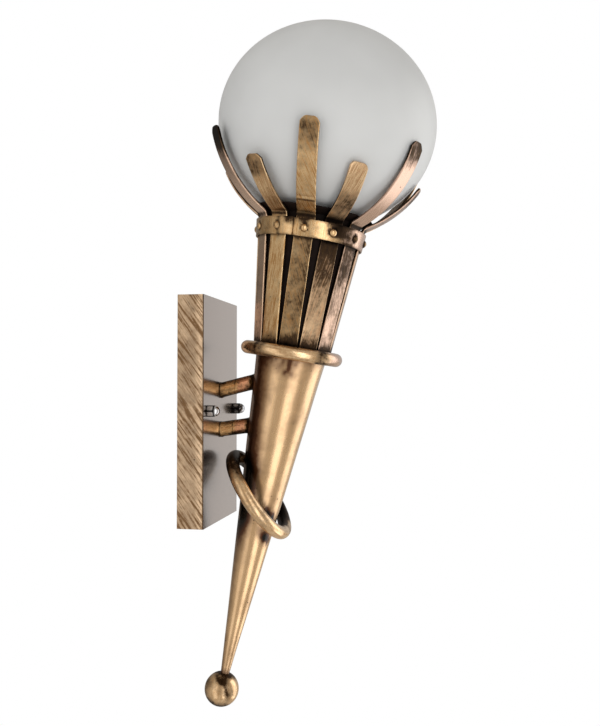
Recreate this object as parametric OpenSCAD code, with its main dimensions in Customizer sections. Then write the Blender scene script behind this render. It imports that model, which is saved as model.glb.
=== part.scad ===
// Torch wall light: a tapering brass torch with a cage of twelve bent straps
// round an opal globe, held off a tall wall plate by two short arms.
// Frame: X leaves the wall, Y runs along it, Z is up. The origin is the
// middle of the wall side of the plate. Millimetres.

/* [Wall plate] */
// Height of the wall plate
plate_h = 205; // [170:1:260]
// Width of the wall plate
plate_w = 113; // [108:1:150]
// Depth of the wall plate off the wall
plate_d = 24; // [22:0.5:40]
// Sheet thickness of the wall plate
plate_t = 1.5; // [1:0.1:3]

/* [Wall bracket] */
// Length of the bracket strap behind the plate
bracket_l = 98; // [96:1:102]
// Width of the bracket strap
bracket_w = 26; // [22:1:40]
// Thickness of the bracket strap
bracket_t = 3; // [2:0.5:5]
// Distance between the two plate studs
stud_pitch = 88; // [80:1:88]
// Diameter of the plate studs
stud_d = 5; // [4:0.5:6]
// Distance between the two wall screw slots
slot_pitch = 60; // [50:1:64]
// Width of a wall screw slot
slot_w = 4.5; // [3.5:0.5:5.5]
// Overall length of a wall screw slot
slot_l = 12; // [8:1:14]
// Diameter of the cable hole in the bracket
cable_hole_d = 10; // [8:0.5:12]

/* [Cap nuts] */
// Distance across the flats of a cap nut
nut_af = 10; // [9:0.5:13]
// Height of the hexagon of a cap nut
nut_hex_h = 6.4; // [4:0.2:8]
// Height of the dome of a cap nut above its hexagon
nut_dome_h = 4.8; // [3:0.2:4.8]

/* [Arms] */
// Diameter of both arms
arm_d = 14; // [10:0.5:15]
// Bore of the upper arm, which carries the leads
arm_bore = 7; // [5:0.5:8]
// Height of the upper arm at the plate, above the plate's middle
upper_arm_z = 18.2; // [17:0.1:30]
// Height of the lower arm at the plate, from the plate's middle
lower_arm_z = -18.2; // [-30:0.1:-17]
// Rise of the upper arm towards the shaft
upper_arm_rise = 14; // [0:0.5:24]
// Rise of the lower arm towards the shaft
lower_arm_rise = 8; // [0:0.5:16]

/* [Shaft] */
// Distance from the wall to the middle of the neck ring
neck_x = 91; // [84:1:110]
// Height of the middle of the neck ring above the plate's middle
neck_z = 52; // [46:1:60]
// Lean of the tapered shaft off the vertical
shaft_lean = 12; // [8:0.1:14]
// Length of the tapered shaft
shaft_l = 302; // [260:1:340]
// Diameter of the shaft at the neck ring
shaft_top_d = 65; // [60:0.2:66]
// Diameter of the shaft at its lower end
shaft_tip_d = 8; // [7.4:0.2:12]
// Sheet thickness of the shaft
shaft_t = 1.5; // [1:0.1:2.5]
// Length of the solid plug in the lower end of the shaft
plug_l = 20; // [16:1:40]

/* [Ball finial] */
// Diameter of the ball
ball_d = 31.6; // [26:0.2:40]
// Diameter of the stud that joins the ball to the shaft
finial_stud_d = 4.5; // [3:0.5:5]
// Length of the stud inside each of the two pieces
finial_stud_l = 12; // [8:1:14]

/* [Rings] */
// Diameter of both rings, to the middle of their rod
ring_d = 82; // [80:0.2:86]
// Diameter of the rod of both rings
ring_rod = 12.4; // [8:0.2:14]
// Distance down the shaft to the high side of the slanting ring
loop_drop = 104.7; // [90:1:130]
// Gap between the shaft and the slanting ring at its high side, bridged by a lug
loop_gap = 3.6; // [2.5:0.1:5]
// Slant of the lower ring across the shaft
loop_slant = 44.2; // [36:0.5:46]

/* [Head straps] */
// Lean of the head off the vertical
head_lean = 9.1; // [6:0.1:12]
// Turn of the whole strap pattern about the head's axis
strap_turn = 4; // [-8:0.5:8]
// Thickness of a strap
strap_t = 2.5; // [1.5:0.1:3]
// Width of a strap
strap_w = 17; // [12:0.2:17.2]
// Distance of the straps' outer faces outside the shaft's collar
strap_step = 0.6; // [0.2:0.1:1]
// Flare of the straps away from the head's axis
strap_flare = 6.8; // [6:0.1:8]
// Angle of a long finger's tip round the middle of the cage, from straight down
long_tip = 75; // [60:0.5:80]
// Angle of a short finger's tip round the middle of the cage, from straight down
short_tip = 58.5; // [45:0.5:70]
// How much the tips' angles grow towards the side away from the wall
tip_tilt = 2.4; // [0:0.2:4]
// Size of the cut corners at a long finger's tip
long_corner = 5; // [2:0.5:7]
// Size of the cut corners at a short finger's tip
short_corner = 4; // [2:0.5:7]

/* [Band and rivets] */
// Height of the riveted band
band_h = 15.5; // [12:0.5:24]
// Thickness of the band
band_t = 1.5; // [1:0.1:2.5]
// Distance from the fingers' bend down to the band
band_drop = 4; // [1:0.5:6]
// Angle covered by the band's lapped end
lap_angle = 13; // [6:1:24]
// Diameter of a rivet's shank
rivet_d = 3.2; // [2.4:0.2:4]
// Diameter of a rivet's domed head
rivet_head_d = 7; // [5:0.2:9]
// Height of a rivet's domed head
rivet_head_h = 2.2; // [1.2:0.1:2.6]

/* [Liner and gallery] */
// Sheet thickness of the dark liner inside the straps
liner_t = 1; // [0.6:0.1:1.6]
// Sheet thickness of the gallery cup
gallery_t = 1.2; // [0.8:0.1:2]
// Depth of the gallery floor below the fingers' bend
gallery_depth = 23; // [20:1:30]
// Radius of the gallery's flared rim
gallery_rim_r = 55; // [52:0.5:60]

/* [Globe] */
// Largest diameter of the opal globe
globe_d = 200; // [190:1:210]
// Height of the globe's rounded body, as a share of its diameter
globe_flat = 0.905; // [0.86:0.005:1]
// Height of the globe's middle above the neck ring
globe_rise = 211.3; // [205:0.5:220]
// Thickness of the glass
glass_t = 3; // [2:0.5:4]
// Outer diameter of the globe's neck
neck_d = 78; // [70:1:80]
// How much larger the fingers' inner curve is than the globe, in radius
cage_gap = 6.1; // [5.5:0.1:8]
// Height of the middle of the fingers' curve above the globe's middle
cage_lift = 6.4; // [5:0.1:7.5]
// Thickness of the seat ring's floor under the glass
seat_t = 2; // [1:0.5:4]
// Height of the seat ring's wall round the glass
seat_h = 7; // [5:0.5:8]

/* [Lampholder and bulb] */
// Diameter of the lampholder's barrel
holder_d = 41; // [38:0.5:46]
// Height of the lampholder
holder_h = 46; // [44:1:50]
// Inner diameter of the brass screw shell
shell_d = 26.8; // [26.6:0.1:27.2]
// Length of the brass screw shell
shell_l = 22; // [18:1:24]
// Diameter of the threaded tube that holds the lampholder
nipple_d = 10; // [8:1:12]
// Diameter of the bulb's screw cap
bulb_cap_d = 26.2; // [26:0.1:26.4]
// Diameter of the bulb's glass
bulb_d = 60; // [45:1:62]
// Length of the whole bulb
bulb_l = 108; // [98:1:112]

/* [Clearances] */
// Gap left for the brazing metal between brazed pieces
braze_gap = 0.2; // [0.1:0.05:0.3]
// Gap between nested sheet-metal pieces
skin_gap = 0.2; // [0.1:0.05:0.3]
// Gap round a stud, rivet or tube in its own hole
hole_gap = 0.05; // [0.02:0.01:0.1]
// Gap round the globe's neck in its seat ring
neck_gap = 0.3; // [0.2:0.1:0.6]

/* [Hidden] */
$fn = 96;

STRAPS = 12;

// shaft: radius at a distance down from the neck ring
shaft_top_r = shaft_top_d / 2;
shaft_tip_r = shaft_tip_d / 2;
shaft_taper = (shaft_top_r - shaft_tip_r) / shaft_l;
shaft_half = atan(shaft_taper);
function shaft_r(down) = shaft_top_r - shaft_taper * down;

// both rings are bent from the same length of rod; a thin collar at the top of the
// shaft reaches out to the upper one
ring_r = ring_d / 2;
collar_r = ring_r - ring_rod / 2 - braze_gap;
collar_t = 2;

// straps: outer face, foot and the point where a finger bends outwards
strap_r0 = collar_r + strap_step;
foot_corner = norm([strap_r0, strap_w / 2]);
foot_z = sqrt(pow(ring_rod / 2, 2) - pow(ring_r - foot_corner, 2)) + braze_gap;
cage_r = globe_d / 2 + cage_gap;
finger_r = cage_r + strap_t;
cage_rise = globe_rise + cage_lift;
// length up a leg face, a depth into the strap, at which it meets a circle of the cage
function leg_to(depth, r) = let (a = strap_r0 - depth * cos(strap_flare),
    b = foot_z + depth * sin(strap_flare) - cage_rise,
    m = a * sin(strap_flare) + b * cos(strap_flare)) -m - sqrt(m * m - a * a - b * b + r * r);
function leg_point(depth, l) = [
    strap_r0 - depth * cos(strap_flare) + l * sin(strap_flare),
    foot_z + depth * sin(strap_flare) + l * cos(strap_flare)];
function polar(p) = atan2(p[0], cage_rise - p[1]);
strap_l = leg_to(0, finger_r);
bend_r = leg_point(0, strap_l)[0];
bend_z = leg_point(0, strap_l)[1];
finger_start = (polar(leg_point(0, strap_l))
    + polar(leg_point(strap_t, leg_to(strap_t, cage_r)))) / 2;
function strap_r(z) = strap_r0 + (z - foot_z) * tan(strap_flare);

// band
band_top = bend_z - band_drop;
band_mid = band_top - band_h / 2;
function band_r(z) = norm([strap_r(z), strap_w / 2]) + skin_gap;

// nested skins inside the straps
function liner_r(z) = strap_r(z) - strap_t / cos(strap_flare) - skin_gap;
function gallery_r(z) = liner_r(z) - liner_t - skin_gap;
gallery_floor = bend_z - gallery_depth;
gallery_top = gallery_floor + gallery_t;
rim_z = cage_rise - sqrt(pow(cage_r - 3 * skin_gap, 2) - pow(gallery_rim_r, 2));
liner_top = bend_z - band_drop;

// globe
globe_h = globe_flat * globe_d;
glass_z = gallery_top + seat_t;
neck_r = neck_d / 2;

// lampholder and bulb, heights above the neck ring
holder_z = gallery_top;
nipple_top = holder_z + 0.8 * nipple_d;
shell_z = holder_z + holder_h - shell_l - 5;
contact_z = shell_z + 1;
cap_top = holder_z + holder_h + 1;
bulb_mid = contact_z + bulb_l - bulb_d / 2;
bulb_neck = 14;
bulb_join = bulb_d / 5;

module on_shaft() { translate([neck_x, 0, neck_z]) rotate([0, shaft_lean, 0]) children(); }
module on_head() { translate([neck_x, 0, neck_z]) rotate([0, head_lean, 0]) children(); }

// strap k stands k twelfths of a turn round from the side that faces -Y
module at_strap(k) {
    on_head() rotate([0, 0, strap_turn + 360 / STRAPS * k - 90]) children();
}

// how far an arm's middle line runs from the plate to end inside the shaft
function arm_reach(z, rise) = (neck_x - plate_d - (neck_z - z) * tan(shaft_lean)
    - shaft_r(neck_z - z) / 2) / (cos(rise) - sin(rise) * tan(shaft_lean));

// something round about an arm's middle line, from behind the plate's face
module along_arm(z, rise, d) {
    translate([plate_d, 0, z]) rotate([0, 90 - rise, 0]) translate([0, 0, -d])
        cylinder(d = d, h = arm_reach(z, rise) + d);
}

// a straight rod, cut flat at the plate and hollow at the shaft
module arm_form(z, rise) difference() {
    along_arm(z, rise, arm_d);
    translate([plate_d - 3 * arm_d, -arm_d, z - 2 * arm_d]) cube([3 * arm_d, 2 * arm_d, 4 * arm_d]);
    shaft_form(braze_gap);
}

// the solid form of the shaft's outside, grown by a gap
module shaft_form(gap = 0) {
    on_shaft() translate([0, 0, -shaft_l])
        cylinder(r1 = shaft_tip_r + gap, r2 = shaft_top_r + gap, h = shaft_l);
}

module wall_bracket() color("silver") difference() {
    translate([0, -bracket_l / 2, -bracket_w / 2]) cube([bracket_t, bracket_l, bracket_w]);
    for (s = [-1, 1]) {
        translate([-1, s * stud_pitch / 2, 0]) rotate([0, 90, 0])
            cylinder(d = stud_d + 2 * hole_gap, h = bracket_t + 2);
        for (e = [-1, 1]) translate([-1, s * slot_pitch / 2 + e * (slot_l - slot_w) / 2, 0])
            rotate([0, 90, 0]) cylinder(d = slot_w, h = bracket_t + 2);
        translate([-1, s * slot_pitch / 2 - (slot_l - slot_w) / 2, -slot_w / 2])
            cube([bracket_t + 2, slot_l - slot_w, slot_w]);
    }
    translate([-1, 0, 0]) rotate([0, 90, 0]) cylinder(d = cable_hole_d, h = bracket_t + 2);
    translate([-1, -earth_y, earth_z]) rotate([0, 90, 0])
        cylinder(d = earth_d + 2 * hole_gap, h = bracket_t + 2);
}

earth_d = 4;
earth_y = 15;
earth_z = 6;

module plate_studs() color("silver") for (s = [-1, 1])
    translate([0, s * stud_pitch / 2, 0]) rotate([0, 90, 0])
        cylinder(d = stud_d, h = plate_d + nut_hex_h + nut_dome_h / 2 - 0.5);

module stud_locknuts() color("silver") for (s = [-1, 1])
    translate([bracket_t, s * stud_pitch / 2, 0]) rotate([0, 90, 0]) difference() {
        cylinder(d = (stud_d + 3) / cos(30), h = 4, $fn = 6);
        translate([0, 0, -1]) cylinder(d = stud_d + 2 * hole_gap, h = 6);
    }

// three-way screw connector, standing on the bracket beside the cable hole
block_y = cable_hole_d / 2 + 2;
block_w = 14;
block_h = 13;
pole = 8;
module terminal_block() color("ivory") translate([bracket_t, block_y, -1.5 * pole]) difference() {
    cube([block_h, block_w, 3 * pole]);
    for (i = [0:2]) translate([0, 0, (i + 0.5) * pole]) {
        translate([block_h - 5, block_w / 4, 0]) rotate([0, 90, 0]) cylinder(d = 4, h = 6);
        translate([block_h - 5, block_w * 3 / 4, 0]) rotate([0, 90, 0]) cylinder(d = 4, h = 6);
    }
    for (i = [1:2]) translate([block_h - 4, -1, i * pole - 0.75]) cube([5, block_w + 2, 1.5]);
}

module earth_screw() color("gold") translate([0, -earth_y, earth_z]) rotate([0, 90, 0])
    difference() {
        union() {
            cylinder(d = earth_d, h = bracket_t + 1);
            translate([0, 0, bracket_t]) cylinder(d = 2 * earth_d, h = 2.6);
        }
        translate([-earth_d, -0.5, bracket_t + 1.6]) cube([2 * earth_d, 1, 2]);
    }

// an open-backed tray of sheet brass
module wall_plate() color("#6f5a3e") difference() {
    translate([0, -plate_w / 2, -plate_h / 2]) cube([plate_d, plate_w, plate_h]);
    translate([-1, plate_t - plate_w / 2, plate_t - plate_h / 2])
        cube([plate_d + 1 - plate_t, plate_w - 2 * plate_t, plate_h - 2 * plate_t]);
    for (s = [-1, 1]) translate([plate_d - 5, s * stud_pitch / 2, 0]) rotate([0, 90, 0])
        cylinder(d = stud_d + 0.6, h = 10);
    translate([plate_d - 5, 0, upper_arm_z]) rotate([0, 90, 0]) cylinder(d = arm_bore, h = 10);
}

// hexagon with a domed cap and a blind hole for the stud
module cap_nuts() color("silver") for (s = [-1, 1])
    translate([plate_d, s * stud_pitch / 2, 0]) rotate([0, 90, 0]) difference() {
        union() {
            rotate([0, 0, 30]) cylinder(d = nut_af / cos(30), h = nut_hex_h, $fn = 6);
            intersection() {
                translate([0, 0, nut_hex_h]) sphere(d = nut_af - 0.4);
                translate([0, 0, nut_hex_h]) cylinder(d = nut_af, h = nut_dome_h);
            }
        }
        translate([0, 0, -1]) cylinder(d = stud_d + 2 * hole_gap, h = nut_hex_h + nut_dome_h / 2 + 1);
    }

// the upper arm is a tube, the lower one a plain rod
module upper_arm() color("#c08a5a") difference() {
    arm_form(upper_arm_z, upper_arm_rise);
    along_arm(upper_arm_z, upper_arm_rise, arm_bore);
}

module lower_arm() color("#b9925f") arm_form(lower_arm_z, lower_arm_rise);

// hollow sheet taper with a collar at its top and a plugged lower end
module shaft() color("#b08a58") difference() {
    on_shaft() rotate_extrude() polygon([
        [collar_r, 0], [collar_r, -collar_t], [shaft_r(collar_t), -collar_t],
        [shaft_tip_r, -shaft_l], [0, -shaft_l], [0, plug_l - shaft_l],
        [shaft_r(shaft_l - plug_l) - shaft_t, plug_l - shaft_l], [shaft_top_r - shaft_t, 0]]);
    on_shaft() translate([0, 0, -shaft_l - 1])
        cylinder(d = finial_stud_d + 2 * hole_gap, h = finial_stud_l + 1.5);
    along_arm(upper_arm_z, upper_arm_rise, arm_bore);
}

module finial_stud() color("silver") on_shaft()
    translate([0, 0, -shaft_l - finial_stud_l]) cylinder(d = finial_stud_d, h = 2 * finial_stud_l);

ball_drop = sqrt(pow(ball_d / 2, 2) - pow(shaft_tip_r, 2));
module ball_finial() color("#b08a58") on_shaft() translate([0, 0, -shaft_l - ball_drop])
    difference() {
        sphere(d = ball_d);
        translate([0, 0, ball_drop]) cylinder(r = ball_d, h = ball_d);
        translate([0, 0, ball_drop - finial_stud_l - 0.5])
            cylinder(d = finial_stud_d + 2 * hole_gap, h = ball_d);
    }

module rod_ring() rotate_extrude() translate([ring_r, 0]) circle(d = ring_rod);

module neck_ring() color("#9a7a50") on_head() rod_ring();

// the slanting ring is brazed to the shaft by a lug at its high side
loop_high_r = shaft_r(loop_drop) + loop_gap + ring_rod / 2;
module slanted_ring() color("#9a7a50") difference() {
    on_shaft() translate([-loop_high_r, 0, -loop_drop]) union() {
        rotate([0, loop_slant, 0]) translate([ring_r, 0, 0]) rod_ring();
        rotate([0, 90, 0]) cylinder(d = ring_rod * 0.6, h = loop_high_r - shaft_tip_r);
    }
    shaft_form(braze_gap);
}

// side view of a strap: flat flared leg, sharp bend, finger curved round the globe
module strap_side(tip) difference() {
    union() {
        polygon([leg_point(0, 0), leg_point(0, strap_l + 3 * strap_t),
            leg_point(strap_t, strap_l + 3 * strap_t), leg_point(strap_t, 0)]);
        translate([0, cage_rise]) intersection() {
            circle(r = finger_r);
            polygon([[0, 0], for (a = [finger_start, (finger_start + tip) / 2, tip])
                1.5 * finger_r * [sin(a), -cos(a)]]);
        }
    }
    translate([0, cage_rise]) circle(r = cage_r);
}

module strap_form(tip, corner) difference() {
    rotate([90, 0, 0]) linear_extrude(strap_w, center = true) strap_side(tip);
    translate([0, 0, cage_rise]) for (s = [-1, 1]) rotate([0, -tip, 0])
        translate([0, s * strap_w / 2, strap_t - cage_r]) rotate([0, 0, s * 45])
            translate([-corner / sqrt(2), -1.5 * corner, -3 * strap_t])
                cube([2 * corner, 3 * corner, 4 * strap_t]);
}

// the line of a rivet: local Z points straight out of the strap's face
module at_rivet(k) {
    at_strap(k) translate([strap_r(band_mid), 0, band_mid]) rotate([0, 90 + strap_flare, 0])
        children();
}

module rivet_hole(k) {
    at_rivet(k) translate([0, 0, -4 * rivet_d]) cylinder(d = rivet_d + 2 * hole_gap, h = 7 * rivet_d);
}

// long and short fingers take turns round the head
function tip_of(k) = (k % 2 == 0 ? long_tip : short_tip)
    + tip_tilt * cos(strap_turn + 360 / STRAPS * k - 90);
module strap(k) color(k % 2 == 0 ? "#c2a06e" : "#ad8a5c") difference() {
    at_strap(k) strap_form(tip_of(k), k % 2 == 0 ? long_corner : short_corner);
    rivet_hole(k);
}

module liner() color("#15100c") difference() {
    on_head() rotate_extrude() polygon([
        [liner_r(foot_z), foot_z], [liner_r(liner_top), liner_top],
        [liner_r(liner_top) - liner_t, liner_top], [liner_r(foot_z) - liner_t, foot_z]]);
    for (k = [0:STRAPS - 1]) rivet_hole(k);
}

// a strip bent to a flared hoop, its outer end lapped over the inner end
lap_at = -110;
module band() color("#b3925f") difference() {
    on_head() union() {
        rotate_extrude() polygon(band_section(band_r(band_top - band_h), band_r(band_top), 0));
        rotate([0, 0, lap_at]) rotate_extrude(angle = lap_angle) polygon(
            band_section(band_r(band_top - band_h), band_r(band_top), band_t));
    }
    for (k = [0:STRAPS - 1]) rivet_hole(k);
}

function band_section(r_low, r_high, out) = [
    [r_low + out * 0.9, band_top - band_h], [r_low + out + band_t, band_top - band_h],
    [r_high + out + band_t, band_top], [r_high + out * 0.9, band_top]];

// domed rivets clamp band, strap, liner and cup together
rivet_out = (band_r(band_mid) + band_t - strap_r(band_mid)) * cos(strap_flare) + skin_gap / 2;
rivet_in = strap_t + (3 * skin_gap + liner_t + gallery_t) * cos(strap_flare);
dome_r = (pow(rivet_head_d / 2, 2) + pow(rivet_head_h, 2)) / (2 * rivet_head_h);
module band_rivets() color("#8a6c44") for (k = [0:STRAPS - 1]) at_rivet(k) {
    translate([0, 0, -rivet_in]) cylinder(d = rivet_d, h = rivet_in + rivet_out);
    translate([0, 0, -rivet_in - 1.2]) cylinder(d = rivet_d + 1.8, h = 1);
    translate([0, 0, -rivet_in - 0.5]) cylinder(d = rivet_d, h = 1);
    translate([0, 0, rivet_out]) intersection() {
        translate([0, 0, rivet_head_h - dome_r]) sphere(r = dome_r);
        cylinder(d = 2 * rivet_head_d, h = rivet_head_h + 1);
    }
}

module gallery_cup() color("#15100c") difference() {
    on_head() rotate_extrude() polygon([
        [nipple_d / 2 + hole_gap, gallery_floor], [gallery_r(gallery_floor), gallery_floor],
        [gallery_r(bend_z), bend_z + strap_t], [gallery_rim_r, rim_z],
        [gallery_rim_r, rim_z + gallery_t], [gallery_r(bend_z) - gallery_t, bend_z + strap_t + gallery_t],
        [gallery_r(gallery_top) - gallery_t, gallery_top], [nipple_d / 2 + hole_gap, gallery_top]]);
    for (k = [0:STRAPS - 1]) rivet_hole(k);
}

// soft ring of L section between the glass and the cup
seat_r = gallery_r(gallery_top) - gallery_t - skin_gap;
module globe_seat() color("#2b2622") on_head() rotate_extrude() polygon([
    [neck_r - 6, gallery_top], [seat_r, gallery_top], [seat_r, gallery_top + seat_h],
    [neck_r + neck_gap, gallery_top + seat_h], [neck_r + neck_gap, gallery_top + seat_t],
    [neck_r - 6, gallery_top + seat_t]]);

module holder_nipple() color("gold") on_head() translate([0, 0, gallery_floor - 12]) difference() {
    cylinder(d = nipple_d, h = nipple_top - gallery_floor + 12);
    translate([0, 0, -1]) cylinder(d = nipple_d - 3.6, h = nipple_top - gallery_floor + 14);
}

module nipple_nut() color("gold") on_head() translate([0, 0, gallery_floor - 4]) difference() {
    cylinder(d = (nipple_d + 4) / cos(30), h = 4, $fn = 6);
    translate([0, 0, -1]) cylinder(d = nipple_d + 2 * hole_gap, h = 6);
}

shell_wall = 0.5;
module lampholder() color("#efe9dc") on_head() rotate_extrude() polygon([
    [nipple_d / 2 + hole_gap, holder_z], [holder_d / 2 - 4, holder_z],
    [holder_d / 2 - 4, holder_z + 11], [holder_d / 2, holder_z + 15],
    [holder_d / 2, holder_z + holder_h],
    [shell_d / 2 + shell_wall + skin_gap, holder_z + holder_h],
    [shell_d / 2 + shell_wall + skin_gap, shell_z], [9, shell_z], [9, nipple_top],
    [nipple_d / 2 + hole_gap, nipple_top]]);

module screw_shell() color("gold") on_head() translate([0, 0, shell_z]) difference() {
    cylinder(r = shell_d / 2 + shell_wall, h = shell_l);
    translate([0, 0, -1]) cylinder(r = shell_d / 2, h = shell_l + 2);
}

// contact disc on the holder's ledge with a springy centre post
module centre_contact() color("gold") on_head() {
    translate([0, 0, nipple_top]) cylinder(r = 9 - skin_gap, h = 1);
    translate([0, 0, nipple_top + 0.5]) cylinder(r = 2.5, h = contact_z - nipple_top - 0.5);
}

module bulb_cap() color("silver") on_head() rotate_extrude() polygon([
    [0, contact_z], [4.5, contact_z], [5, contact_z + 0.8], [bulb_cap_d / 2 - 1, contact_z + 3.5],
    [bulb_cap_d / 2, contact_z + 4.5], [bulb_cap_d / 2, cap_top], [0, cap_top]]);

// pear-shaped glass, open towards the cap
module bulb_skin(shrink) {
    translate([0, 0, bulb_mid]) sphere(d = bulb_d - 2 * shrink);
    translate([0, 0, cap_top - shrink]) cylinder(r1 = bulb_neck - shrink,
        r2 = sqrt(pow(bulb_d / 2 - shrink, 2) - pow(bulb_join, 2)),
        h = bulb_mid - bulb_join - cap_top + shrink);
}

module bulb_glass() color("white") on_head() difference() {
    bulb_skin(0);
    bulb_skin(1.2);
}

// opal globe, a little flattened, with a plain neck; the outline is an ellipse
globe_cut = acos(neck_r / (globe_d / 2));
inner_cut = acos((neck_r - glass_t) / (globe_d / 2 - glass_t));
GLOBE_STEPS = 40;
module globe() color("#dcdcda") on_head() rotate_extrude() polygon(concat(
    [for (i = [0:GLOBE_STEPS]) let (a = 90 - i * (90 + globe_cut) / GLOBE_STEPS)
        [i == 0 ? 0 : globe_d / 2 * cos(a), globe_rise + globe_h / 2 * sin(a)]],
    [[neck_r, glass_z], [neck_r - glass_t, glass_z]],
    [for (i = [GLOBE_STEPS:-1:0]) let (a = 90 - i * (90 + inner_cut) / GLOBE_STEPS)
        [i == 0 ? 0 : (globe_d / 2 - glass_t) * cos(a), globe_rise + (globe_h / 2 - glass_t) * sin(a)]]));

wall_bracket();
plate_studs();
stud_locknuts();
terminal_block();
earth_screw();
wall_plate();
cap_nuts();
upper_arm();
lower_arm();
shaft();
finial_stud();
ball_finial();
neck_ring();
slanted_ring();
strap(0);  // strap_01
strap(1);  // strap_02
strap(2);  // strap_03
strap(3);  // strap_04
strap(4);  // strap_05
strap(5);  // strap_06
strap(6);  // strap_07
strap(7);  // strap_08
strap(8);  // strap_09
strap(9);  // strap_10
strap(10);  // strap_11
strap(11);  // strap_12
liner();
band();
band_rivets();
gallery_cup();
globe_seat();
holder_nipple();
nipple_nut();
lampholder();
screw_shell();
centre_contact();
bulb_cap();
bulb_glass();
globe();
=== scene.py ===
"""Looks of the torch wall light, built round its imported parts. Shapes are worked out in millimetres, and
each mesh turns to metres in its last step."""

import functools
from math import acos, asin, atan2, cos, hypot, pi, radians, sin, sqrt, tan

import bmesh
import bpy
import numpy as np
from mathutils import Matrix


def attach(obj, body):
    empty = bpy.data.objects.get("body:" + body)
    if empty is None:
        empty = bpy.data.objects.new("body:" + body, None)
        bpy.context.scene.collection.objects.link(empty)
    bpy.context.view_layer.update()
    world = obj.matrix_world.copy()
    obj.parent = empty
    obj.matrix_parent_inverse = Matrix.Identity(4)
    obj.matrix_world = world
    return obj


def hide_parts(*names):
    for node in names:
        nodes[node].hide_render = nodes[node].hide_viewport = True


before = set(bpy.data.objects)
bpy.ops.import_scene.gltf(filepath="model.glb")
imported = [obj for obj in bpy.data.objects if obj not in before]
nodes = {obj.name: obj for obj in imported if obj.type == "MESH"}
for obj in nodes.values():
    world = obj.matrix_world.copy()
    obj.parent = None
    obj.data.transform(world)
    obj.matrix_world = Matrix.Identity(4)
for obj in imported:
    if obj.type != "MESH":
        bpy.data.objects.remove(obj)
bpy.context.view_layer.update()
MM = 0.001

# ---- sizes in mm, as in the part's source
PLATE_D = 24.0
STUD_PITCH, STUD_D, STUD_L = 88.0, 5.0, 32.3
BRACKET_T = 3.0
NUT_AF, NUT_HEX, NUT_DOME = 10.0, 6.4, 4.8
ARM_R = 7.0
UPPER_ARM, LOWER_ARM = dict(height=18.2, rise=14.0), dict(height=-18.2, rise=8.0)
NECK = np.array([91.0, 0.0, 52.0])
SHAFT_LEAN, SHAFT_L, SHAFT_TOP_R, SHAFT_TIP_R, SHAFT_T, PLUG_L = 12.0, 302.0, 32.5, 4.0, 1.5, 20.0
BALL_R = 15.8
FINIAL_STUD_D, FINIAL_STUD_L = 4.5, 12.0
BRAZE, SKIN, HOLE = 0.2, 0.2, 0.05
ROD_R, RING_R = 6.2, 41.0
COLLAR_R, COLLAR_T = RING_R - ROD_R - BRAZE, 2.0
LOOP_DROP, LOOP_GAP, LOOP_SLANT = 104.7, 3.6, 44.2
HEAD_LEAN, STRAP_TURN, STRAPS = 9.1, 4.0, 12
STRAP_T, STRAP_W, STRAP_FLARE = 2.5, 17.0, radians(6.8)
STRAP_R0 = COLLAR_R + 0.6
LONG_TIP, SHORT_TIP, TIP_TILT = (75.0, 5.0), (58.5, 4.0), 2.4
BAND_H, BAND_T, BAND_DROP = 15.5, 1.5, 4.0
LAP_AT, LAP_ANGLE = -110.0, 13.0
RIVET_D, RIVET_HEAD_D, RIVET_HEAD_H = 3.2, 7.0, 2.2
LINER_T, GALLERY_T, GALLERY_DEPTH, GALLERY_RIM_R = 1.0, 1.2, 23.0, 55.0
GLOBE_R, GLOBE_HALF_H, GLOBE_RISE, GLASS_T, NECK_R = 100.0, 90.5, 211.3, 3.0, 39.0
SEAT_T, SEAT_H, NECK_GAP = 2.0, 7.0, 0.3
CAGE_R, CAGE_RISE = GLOBE_R + 6.1, GLOBE_RISE + 6.4
FINGER_R = CAGE_R + STRAP_T
HOLDER_R, HOLDER_H, SHELL_R, SHELL_L, NIPPLE_R = 20.5, 46.0, 13.4, 22.0, 5.0
CAP_R, BULB_R, BULB_L = 13.1, 30.0, 108.0

# lines worked out from them
FLARE_COS, FLARE_SIN = cos(STRAP_FLARE), sin(STRAP_FLARE)
SHAFT_TAPER = (SHAFT_TOP_R - SHAFT_TIP_R) / SHAFT_L
FOOT_Z = sqrt(ROD_R ** 2 - (RING_R - hypot(STRAP_R0, STRAP_W / 2)) ** 2) + BRAZE


def leg_point(depth, along):
    """Radius and height of a point on a strap's leg, a depth under its outer face and a length up it."""
    return np.array([STRAP_R0 - depth * FLARE_COS + along * FLARE_SIN,
                     FOOT_Z + depth * FLARE_SIN + along * FLARE_COS])


def leg_to(depth, radius):
    """Length up the leg at which it meets the circle of that radius round the cage's middle."""
    a = STRAP_R0 - depth * FLARE_COS
    b = FOOT_Z + depth * FLARE_SIN - CAGE_RISE
    m = a * FLARE_SIN + b * FLARE_COS
    return -m - sqrt(m * m - a * a - b * b + radius ** 2)


BEND_Z = leg_point(0, leg_to(0, FINGER_R))[1]
BAND_TOP = BEND_Z - BAND_DROP
BAND_MID = BAND_TOP - BAND_H / 2
GALLERY_FLOOR = BEND_Z - GALLERY_DEPTH
GALLERY_TOP = GALLERY_FLOOR + GALLERY_T
GLASS_Z = GALLERY_TOP + SEAT_T
HOLDER_Z = GALLERY_TOP
NIPPLE_TOP = HOLDER_Z + 1.6 * NIPPLE_R
SHELL_Z = HOLDER_Z + HOLDER_H - SHELL_L - 5
CONTACT_Z = SHELL_Z + 1
CAP_TOP = HOLDER_Z + HOLDER_H + 1
BULB_MID = CONTACT_Z + BULB_L - BULB_R


def strap_r(z):
    """Radius of the straps' outer faces at a height."""
    return STRAP_R0 + (z - FOOT_Z) * tan(STRAP_FLARE)


def band_r(z):
    """Inner radius of the band at a height: it clears the straps' outer corners."""
    return np.hypot(strap_r(z), STRAP_W / 2) + SKIN


def liner_r(z):
    return strap_r(z) - STRAP_T / FLARE_COS - SKIN


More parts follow.
